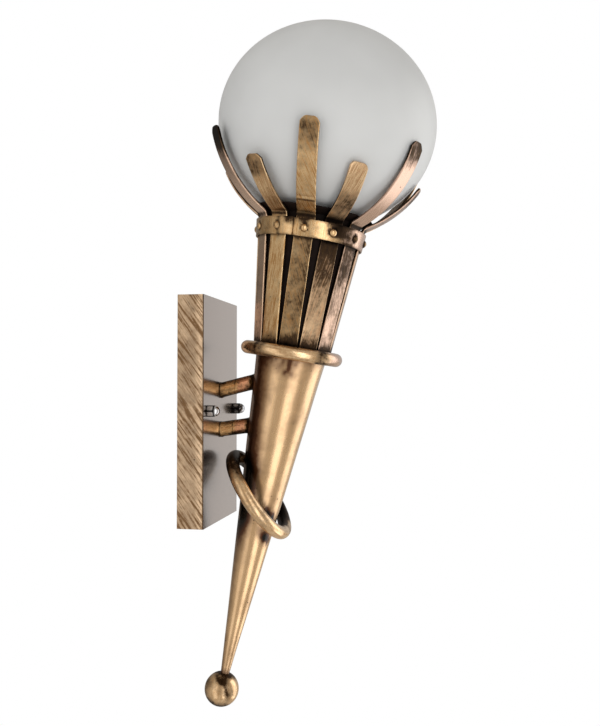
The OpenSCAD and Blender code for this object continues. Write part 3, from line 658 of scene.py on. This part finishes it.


# how each strap was left: patina on the lower and upper leg, on the finger and at its tip, a rosy cast on leg
# and finger, the brush strokes' angle, and how far the finger is bent towards the wall, or away from it below
# 0; the rest follow a seeded draw. Values below 0 make the brass lighter, and on the tip of 1 and the fingers
# of 2 and 11 they are painted highlights where these face the light
WEAR_AND_HIGHLIGHTS = {
    0: (0.36, 0.34, -0.06, 0.26, 0.0, 0.0, 24, 1.6),
    1: (0.10, 0.80, 0.34, -0.80, 0.3, 0.25, -10, 4.6),
    2: (0.16, 0.42, -0.40, 0.62, 0.8, 0.9, 8, 5.0),
    3: (0.00, 0.00, -0.10, 0.30, 0.6, 0.9, 0, 1.0),
    9: (0.00, 0.10, 0.00, 0.20, 0.3, 0.6, 0, -3.2),
    10: (-0.05, -0.25, -0.10, 1.20, 0.6, 0.8, 4, 2.4),
    11: (-0.14, -0.28, -0.50, 0.22, 0.0, 0.15, -6, 3.6),
}
draw = np.random.default_rng(77)
for k in range(STRAPS):
    drawn = (*draw.uniform(-0.1, 0.3, 4), *draw.uniform(0, 0.5, 2), draw.uniform(-30, 30),
             draw.uniform(1.5, 3.5))
    low_leg, high_leg, finger, tip_end, leg_rose, finger_rose, turn, inwards = WEAR_AND_HIGHLIGHTS.get(k, drawn)
    tip, corner = LONG_TIP if k % 2 == 0 else SHORT_TIP
    tip += TIP_TILT * cos(radians(strap_angle(k)))
    grid, s, total, bend, patches = strap_grid(tip, corner, 100 + k, weld=1.0 if k == 0 else 0.15)
    past = fade(s, bend - 2, bend + 2)
    mixed = s + ends_twice(waves(patches.shape, 60 + k, (14, 3), 6.0))
    legs = low_leg + (high_leg - low_leg) * fade(mixed, 0.25 * bend, 0.85 * bend)
    ends = finger + (tip_end - finger) * fade(s, total - 36, total - 6)
    patches = ends_twice(patches) + (1 - past) * legs + past * ends
    rose = (1 - past) * leg_rose + past * finger_rose
    grid = turned_about_z(grid, strap_angle(k))
    grid[..., 0] -= inwards * np.clip((s - bend) / (total - bend), 0, 1) ** 1.4
    skin = shell(on_head(grid), tarnish_and_shade=patches, blush=rose, turn=turn)
    piece(f"strap_bar_{k + 1:02d}", [skin], strap_brass, [f"strap_{k + 1:02d}"])

# ---- band and rivets
# a strip bent round the straps: its outer end steps over its own start and is lapped there
angle = np.concatenate([LAP_AT + np.linspace(*span) for span in (
    (1, 352, 300), (352.5, 360, 16), (361, 360 + LAP_ANGLE, 24))])
half_h = BAND_H / 2
section = refine(soften([[0, -half_h], [BAND_T, -half_h], [BAND_T, half_h], [0, half_h]], 0.4), 2.0)
lift = (BAND_T + 0.05) * fade(angle, LAP_AT + 353, LAP_AT + 360)
uneven = waves((len(angle), len(section)), 21, (30, 3), 0.04) * (section[:, 0] > 0.5)
edge_wander = waves((len(angle), 2), 22, (14, 2), 0.10)[:, :1]
r = band_r(BAND_MID + section[:, 1]) + section[:, 0] + lift[:, None] + uneven
z = BAND_MID + section[:, 1] * (1 + edge_wander / BAND_H)
grid = capped(round_z(r, np.radians(angle)[:, None], z))
angle, height = ends_twice(angle)[:, None], section[None, :, 1]
patches = 0.3 * bump_at(np.abs(height), half_h, 0.8) + bump_at(angle, -52, 9) * fade(height, -7, 0) \
    + 0.8 * fade(height, 0, 7) * (bump_at(angle, -87, 5) + bump_at(angle, 257, 5)) \
    + 0.16 * waves((len(angle), len(section)), 24, (34, 3), 1.0)
# dark lines at the lap and at the step before it, and a dark place on the front
for at, width, amount in ((LAP_AT + 360 + LAP_ANGLE, 0.8, 0.3), (LAP_AT + LAP_ANGLE + 1.2, 1.0, 0.3),
                          (LAP_AT + 356, 2, 0.2), (-38, 10, 0.58)):
    patches += amount * bump_at(angle, at, width)
for k in range(STRAPS):  # a dark ring stays round each rivet
    near = np.hypot(apart(np.radians(angle - strap_angle(k))) * strap_r(BAND_MID), height)
    patches += 0.5 * bump_at(near, 3.7, 0.6)
rosy = 0.9 * fade(angle, -50, -38) * (1 - fade(angle, 10, 50))
piece("band_strip", [shell(on_head(grid), tarnish_and_shade=patches, blush=rosy)], band_brass,
      ["band"])

rivet_out = (band_r(BAND_MID) + BAND_T - strap_r(BAND_MID)) * FLARE_COS + SKIN / 2
rivet_in = STRAP_T + (3 * SKIN + LINER_T + GALLERY_T) * FLARE_COS
dome_r = ((RIVET_HEAD_D / 2) ** 2 + RIVET_HEAD_H ** 2) / (2 * RIVET_HEAD_H)
t = np.linspace(asin(RIVET_HEAD_D / 2 / dome_r), 0, 12)
dome = np.stack([dome_r * np.sin(t), rivet_out + RIVET_HEAD_H - dome_r + dome_r * np.cos(t)], 1)
shank = RIVET_D / 2
foot = -rivet_in - 0.2
burr = soften([[0, foot - 1], [shank + 0.9, foot - 1], [shank + 0.9, foot], [shank, foot], [shank, rivet_out],
               [RIVET_HEAD_D / 2, rivet_out]], 0.2, closed=False)
rivet_line = np.concatenate([burr[:-1], dome])
RIVET_DARK = {2: 0.6, 3: 0.5, 11: 0.25}  # rivet heads that kept more patina
above = (rivet_line[:, 1] - rivet_out)[:, None]
skins = []
for k in range(STRAPS):
    grid = lathe(rivet_line, 32)
    size = grid.shape[:2]
    grid[..., :2] *= 1 + (waves(size, 300 + k, (4, 5), 0.05) * (above >= 0))[..., None]
    grid[..., 2] += waves(size, 320 + k, (4, 4), 0.08) * (above > 0.5)
    grid[-1] = grid[-1].mean(0)
    foot_dark = 0.9 * np.exp(-np.clip(above, 0, None) / 0.5) - 0.12 + RIVET_DARK.get(k, 0.0)
    grid = leaning(grid, 90 + np.degrees(STRAP_FLARE), [strap_r(BAND_MID), 0, BAND_MID])
    skins.append(shell(on_head(turned_about_z(grid, strap_angle(k))), tarnish_and_shade=foot_dark))
piece("rivet_heads", skins, band_brass, ["band_rivets"])


# ---- arms
def taper_gap(points):
    """Distance from the taper's skin outwards, for points in the object's frame."""
    local = leaning(points - NECK, -SHAFT_LEAN, 0)
    return np.hypot(local[..., 0], local[..., 1]) - shaft_r(-local[..., 2])


def brazed_arm(height, rise, seed):
    """A straight rod whose lines run from just inside the plate's sheet to just inside the taper's, which
    halving finds. The radius swells towards both ends as an uneven fillet of braze, with a run below."""
    a, tilt = radians(rise), tan(radians(SHAFT_LEAN))
    axis, up = np.array([cos(a), 0, sin(a)]), np.array([-sin(a), 0, cos(a)])
    turn = circle(64)[:, None]
    around = np.cos(turn) * np.array([0, 1, 0]) + np.sin(turn) * up
    start = np.array([PLATE_D, 0, height])
    first = -ARM_R * around[:, 0] / axis[0]
    low = first.copy()
    high = low * 0 + (NECK[0] - PLATE_D - (NECK[2] - height) * tilt) / (axis[0] - axis[2] * tilt) - 3
    for _ in range(40):
        middle = (low + high) / 2
        clear = taper_gap(start + middle[:, None] * axis + ARM_R * around) > 0
        low, high = np.where(clear, middle, low), np.where(clear, high, middle)
    share = (0.5 - 0.5 * np.cos(np.pi * np.linspace(0, 1, 90)))[:, None]
    s = first - 0.5 + share * (low - first + 1.3)
    off_sheet, off_taper = np.clip(s - first, 0, None), np.clip(low - s, 0, None)
    lumps = 1 + waves(s.shape, seed, (6, 9), 0.5)
    turn = turn[:, 0]
    under = bump_at(turn, 1.5 * np.pi - 0.15, 0.22)
    swell = lumps * (0.35 * np.exp(-off_sheet / 0.5) + 0.8 * np.exp(-off_taper / 1.1)) \
        + 0.7 * under * bump_at(off_sheet, 1.6, 0.9) + 0.16 * bump_at(share, 0.47, 0.012) \
        + waves(s.shape, seed + 1, (8, 5), 0.06) - 0.06
    grid = capped(start + s[..., None] * axis + (ARM_R + swell)[..., None] * around)
    # painted dark reflections along the rod's top and bottom, a dark braze line at the plate, painted shadow
    # where it meets the taper, a dark line at the joint, and a painted highlight on the braze run below
    patches = 0.75 * np.abs(np.sin(turn)) ** 6 + 0.8 * np.exp(-off_sheet / 0.45) \
        + 0.9 * np.exp(-off_taper / 2.2) + 0.35 * bump_at(share, 0.452, 0.015) \
        - 0.5 * under * bump_at(off_sheet, 1.6, 1.0) + waves(s.shape, seed + 2, (6, 5), 0.16)
    rose = 0.75 * fade(share, 0.46, 0.6) * (1 - fade(share, 0.8, 0.95)) + 0 * s
    return shell(grid, tarnish_and_shade=ends_twice(patches), blush=ends_twice(rose))


piece("arm_above", [brazed_arm(**UPPER_ARM, seed=51)], arm_brass, ["upper_arm"])
piece("arm_below", [brazed_arm(**LOWER_ARM, seed=61)], arm_brass, ["lower_arm"])


# ---- nuts, studs and the plate
def hexed(profile, across_flats, outside):
    """A turned profile, its rows marked as outside cut down to a hexagon."""
    grid = lathe(profile)
    angle = np.linspace(0, 360, 96, endpoint=False)
    hexagon = across_flats / 2 / np.cos(np.radians((angle + 30) % 60 - 30))
    radius = np.maximum(profile[:, 0], 1e-6)[:, None]
    scale = np.where(outside[:, None], np.minimum(1, hexagon / radius), 1)
    grid[..., :2] *= scale[..., None]
    return grid


def threaded_rod(radius, length, pitch, turns=28):
    """A rod with a helical thread, 0.6 of its pitch deep, and tapered in at both ends."""
    z, angle = np.linspace(0, length, int(length / pitch * 6))[:, None], circle(turns)
    dip = 0.3 * pitch * (1 + np.cos(2 * np.pi * z / pitch - angle))
    return capped(round_z(radius - dip - 0.6 * np.clip(0.6 - np.minimum(z, length - z), 0, None), angle, z))


def hex_nut(across_flats, bore, height):
    """A chamfered hexagon nut with a hole."""
    big = across_flats / 2 / cos(radians(30))
    line = refine([[bore, 0], [big - 0.7, 0], [big, 0.4], [big, height - 0.4], [big - 0.7, height],
                   [bore, height]], 0.5, False)
    return hexed(line, across_flats, line[:, 0] > across_flats / 2 - 1)


STUD_Y = (-STUD_PITCH / 2, STUD_PITCH / 2)
STUD_THREAD = 0.8
corner_r, dome_low = NUT_AF / 2 / cos(radians(30)), NUT_AF / 2 - 0.2
t = np.linspace(0, pi / 2, 14)
cap_line = np.concatenate([
    [[0, 0], [corner_r - 0.5, 0], [corner_r, 0.4]],
    refine([[corner_r, 0.5], [corner_r, NUT_HEX - 0.8]], 1.0, False),
    refine([[corner_r, NUT_HEX - 0.75], [dome_low, NUT_HEX]], 0.15, False),
    np.stack([dome_low * np.cos(t), NUT_HEX + dome_low * np.sin(t) * NUT_DOME / dome_low], 1)[1:]])
cap_line[-1, 0] = 0
grid = hexed(cap_line, NUT_AF, np.ones(len(cap_line), bool))
# grime stays at the foot and under the dome, darker along the hexagon's corners, and painted shade over all of
# the far nut
off_flat, z = np.abs(apart(6 * circle(96))) / np.pi, grid[..., 2]
grime_and_shade = 0.75 * np.exp(-z / 0.7) + 0.75 * bump_at(z, NUT_HEX, 0.7) \
    + 0.7 * fade(off_flat, 0.55, 0.95) * (z < NUT_HEX - 0.4)
piece("acorn_nuts", [shell(off_plate(grid + [0, 0, PLATE_D], y), tarnish_and_shade=grime_and_shade + more)
                     for y, more in zip(STUD_Y, (0.0, 0.3))], worn_nickel, ["cap_nuts"], crease=28)
grid = hex_nut(8.0, STUD_D / 2 + HOLE, 4.0) + [0, 0, BRACKET_T]
piece("lock_nuts", [shell(off_plate(grid, y), wrap_rows=True) for y in STUD_Y], zinc,
      ["stud_locknuts"], crease=28)
grid = threaded_rod(STUD_D / 2, STUD_L, STUD_THREAD)
piece("threaded_studs", [shell(off_plate(grid, y)) for y in STUD_Y], zinc, ["plate_studs"],
      crease=60)

plate = rounded_copy("wall_plate", "wall_plate_tray", side_bronze, 0.5)
plate.data.materials.append(face_bronze)
for face in plate.data.polygons:  # the face that looks off the wall is polished and lacquered
    face.material_index = int(face.normal.x > 0.9 and face.center.x > (PLATE_D - 0.1) * MM)
rounded_copy("wall_bracket", "bracket_strap", zinc, 0.4)
rounded_copy("terminal_block", "screw_connector", polyamide, 0.4)
rounded_copy("earth_screw", "earth_screw_slotted", turned_brass, 0.25)


# ---- turned pieces of the head
def turned(name, node, base, profile, material, edge):
    """A closed outline of (radius, height over its base), corners softened, carried round the head's axis."""
    line = refine(soften(profile, edge), 4.0) + [0, base]
    piece(name, [shell(on_head(lathe(line, 128)), wrap_rows=True)], material, [node])


piece("threaded_finial_stud", [shell(on_shaft(threaded_rod(FINIAL_STUD_D / 2, 2 * FINIAL_STUD_L, STUD_THREAD)
                                              - [0, 0, SHAFT_L + FINIAL_STUD_L]))], zinc,
      ["finial_stud"], crease=60)
turned("liner_cone", "liner", 0, [
    [liner_r(z) - t, z] for z, t in ((FOOT_Z, 0), (BAND_TOP, 0), (BAND_TOP, LINER_T), (FOOT_Z, LINER_T))
    ], black_tin, 0.3)
rim_z = CAGE_RISE - sqrt((CAGE_R - 3 * SKIN) ** 2 - GALLERY_RIM_R ** 2)
hole_r = NIPPLE_R + HOLE
turned("gallery_bowl", "gallery_cup", 0, [
    [hole_r, GALLERY_FLOOR], [gallery_r(GALLERY_FLOOR), GALLERY_FLOOR], [gallery_r(BEND_Z), BEND_Z + STRAP_T],
    [GALLERY_RIM_R, rim_z], [GALLERY_RIM_R, rim_z + GALLERY_T],
    [gallery_r(BEND_Z) - GALLERY_T, BEND_Z + STRAP_T + GALLERY_T],
    [gallery_r(GALLERY_TOP) - GALLERY_T, GALLERY_TOP], [hole_r, GALLERY_TOP]], black_tin, 0.6)
seat_r = gallery_r(GALLERY_TOP) - GALLERY_T - SKIN
turned("soft_seat_ring", "globe_seat", GALLERY_TOP, [
    [NECK_R - 6, 0], [seat_r, 0], [seat_r, SEAT_H], [NECK_R + NECK_GAP, SEAT_H], [NECK_R + NECK_GAP, SEAT_T],
    [NECK_R - 6, SEAT_T]], rubber, 0.5)
shell_base, nipple_h = SHELL_Z - HOLDER_Z, NIPPLE_TOP - HOLDER_Z
turned("porcelain_holder", "lampholder", HOLDER_Z, [
    [hole_r, 0], [HOLDER_R - 4, 0], [HOLDER_R - 4, 11], [HOLDER_R, 15], [HOLDER_R, HOLDER_H],
    [SHELL_R + 0.7, HOLDER_H], [SHELL_R + 0.7, shell_base], [9, shell_base], [9, nipple_h],
    [hole_r, nipple_h]], porcelain, 1.0)
length = NIPPLE_TOP - GALLERY_FLOOR + 12
grid = threaded_rod(NIPPLE_R, length, 1.0, 40)[1:-1]
tube = grid[::-1].copy()
tube[..., :2] *= (NIPPLE_R - 1.8) / np.hypot(tube[..., 0], tube[..., 1])[..., None]
grid = on_head(np.concatenate([grid, tube]) + [0, 0, GALLERY_FLOOR - 12])
piece("threaded_nipple", [shell(grid, wrap_rows=True)], turned_brass, ["holder_nipple"],
      crease=60)
grid = on_head(hex_nut(2 * NIPPLE_R + 4, hole_r, 4.0) + [0, 0, GALLERY_FLOOR - 4])
piece("nipple_hex_nut", [shell(grid, wrap_rows=True)], turned_brass, ["nipple_nut"], crease=28)


LAMP_THREAD = 3.6


def rolled_thread(radius, depth, z):
    """Rows of a rolled thread, as pressed into a lamp's shell, fading out at both ends."""
    z, angle = z[:, None], circle(72)
    strength = fade(z, z.min(), z.min() + 3) * fade(-z, -z.max(), 3 - z.max())
    r = radius - depth * strength * (0.5 + 0.5 * np.cos(2 * np.pi * z / LAMP_THREAD - angle))
    return round_z(r, angle, z)


grid = rolled_thread(SHELL_R + 0.5, 0.28, np.linspace(SHELL_Z, SHELL_Z + SHELL_L, 90))
lining = grid[::-1].copy()
lining[..., :2] *= (1 - 0.4 / np.hypot(lining[..., 0], lining[..., 1]))[..., None]
piece("threaded_shell", [shell(on_head(np.concatenate([grid, lining])), wrap_rows=True)], turned_brass,
      ["screw_shell"])
grid = rolled_thread(CAP_R, 0.7, np.linspace(CONTACT_Z + 4.5, CAP_TOP, 90))
button = lathe(refine([[0, CONTACT_Z], [4.2, CONTACT_Z], [5, CONTACT_Z + 0.8], [CAP_R - 1, CONTACT_Z + 3.5]],
                      1.0, False), 72)
top = lathe(np.array([[0, CAP_TOP]]), 72)
piece("bulb_screw_cap", [shell(on_head(np.concatenate([button, grid, top])))], nickel, ["bulb_cap"],
      "bulb")
# pear-shaped bulb: a straight neck that swells into a sphere, as one smooth line, with its wall inside it
join = sqrt(BULB_R ** 2 - 6.0 ** 2)
arc = np.linspace(-asin(6.0 / BULB_R), pi / 2, 40)
shoulder = soften([[14, CAP_TOP], [14, CAP_TOP + 3], [join, BULB_MID - 6.0], [BULB_R + 0.2, BULB_MID]], 9.0,
                  10, closed=False)[:-8]
crown = np.stack([BULB_R * np.cos(arc), BULB_MID + BULB_R * np.sin(arc)], 1)
bulb_line = np.concatenate([shoulder[shoulder[:, 1] < BULB_MID - 8], crown])
bulb_line[-1, 0] = 0
inner_line, inner_top = bulb_line[::-1] * [0.96, 1.0], BULB_MID + BULB_R - 1.2
inner_line[0] = [0, inner_top]
inner_line[:, 1] = np.minimum(inner_line[:, 1], inner_top)
grid = lathe(np.concatenate([bulb_line, inner_line]), 96)
piece("bulb_envelope", [shell(on_head(grid), wrap_rows=True)], frosted_bulb, ["bulb_glass"],
      "bulb")

for slot in nodes["centre_contact"].material_slots:
    slot.material = turned_brass


# ---- floor, light and camera
FLOOR_Z = -2.0


def watching(add):
    """1 for a ray from the camera, straight or through glass, and 1 for a ray that metal reflects."""
    path = add("LightPath").outputs
    seen = add("Math", [path["Is Camera Ray"], path["Is Transmission Ray"]], operation="MAXIMUM")
    return seen, path["Is Glossy Ray"]


# plain pale paper: the backdrop to the camera and in metal, with a soft shadow near the object
paper = bpy.data.materials.new("pale_paper_floor")
add = node_adder(paper)
seen, glossy = watching(add)
place = add("TexCoord").outputs["Object"]
distance = add("VectorMath", [place, (0.1, 0, FLOOR_Z)], operation="DISTANCE")
far = add("MapRange", [distance, 0.6, 1.6, 0.8, 1.0])
flag = add("MapRange", [add("SeparateXYZ", [place]).outputs["X"], -2.5, -0.8, 0.55, 0.64])
level = add("Math", [seen, add("Math", [glossy, flag], operation="MULTIPLY")], operation="MAXIMUM")
watched = add("Math", [seen, glossy], operation="MAXIMUM")
tint = add("Mix", {"Factor": glossy, "A": WHITE, "B": CREAM}, data_type="RGBA")
add("OutputMaterial", [add("MixShader", [
    add("Math", [far, watched], operation="MULTIPLY"), add("BsdfDiffuse", [rgb("#f4f4f4")]),
    add("Emission", [tint, level])])])
mesh = bpy.data.meshes.new("floor")
mesh.from_pydata([(x, y, FLOOR_Z) for x, y in ((-9, -9), (9, -9), (9, 9), (-9, 9))], [], [(0, 1, 2, 3)])
mesh.materials.append(paper)
linked("floor", mesh)

# a pale room: white to the camera, cream and mid grey to metal, darker towards the wall and the back
world = bpy.data.worlds.new("studio")
bpy.context.scene.world = world
add = node_adder(world)
seen, glossy = watching(add)
x, y, z = add("SeparateXYZ", [add("TexCoord").outputs["Generated"]]).outputs
mirrored = add("MapRange", [sums(add, (x, -0.8), (y, 0.6), 0.0), 0.40, 0.95, 0.62, 0.24])
soft = sums(add, (x, -0.30), (y, -0.10), (z, -0.06), 0.60)
around = add("Mix", {"Factor": glossy, "A": soft, "B": mirrored}, data_type="FLOAT")
level = add("Mix", {"Factor": seen, "A": around, "B": 1.0}, data_type="FLOAT")
cream = add("Math", [glossy, add("MapRange", [y, 0.9, 0.5])], operation="MULTIPLY")
tint = add("Mix", {"Factor": cream, "A": WHITE, "B": CREAM}, data_type="RGBA")
add("OutputWorld", [add("Background", [tint, level])])

LAMP_Z, LAMP_H, LAMPS_FACE_X = -0.45, 2.9, 0.1


def softbox(name, x, y, width, radiance):
    """A tall soft lamp that faces the object: metres, and the brightness that a mirror would show."""
    lamp = bpy.data.lights.new(name, "AREA")
    lamp.shape, lamp.size, lamp.size_y = "RECTANGLE", width, LAMP_H
    lamp.energy = radiance * pi * width * LAMP_H
    made = linked(name, lamp)
    made.location = (x, y, LAMP_Z)
    made.rotation_euler = (pi / 2, 0, atan2(-y, LAMPS_FACE_X - x) - pi / 2)
    made.visible_camera = False


softbox("key", 1.02, -1.30, 0.95, 1.58)
softbox("rim", 1.43, 0.70, 1.05, 1.45)
softbox("fill", -0.76, -1.35, 0.80, 0.62)

# where the photograph was taken from, in metres and degrees
EYE_AT, EYE_UP, EYE_LEFT = (0.2418, -0.7691, 0.0230), 1.483, 10.527
camera = bpy.data.cameras.new("camera")
camera.sensor_fit, camera.sensor_width, camera.lens = "HORIZONTAL", 36.0, 51.0
eye = linked("camera", camera)
eye.location, eye.rotation_euler = EYE_AT, (radians(90 + EYE_UP), 0, radians(EYE_LEFT))
bpy.context.scene.camera = eye
bpy.context.scene.view_settings.view_transform = "Standard"
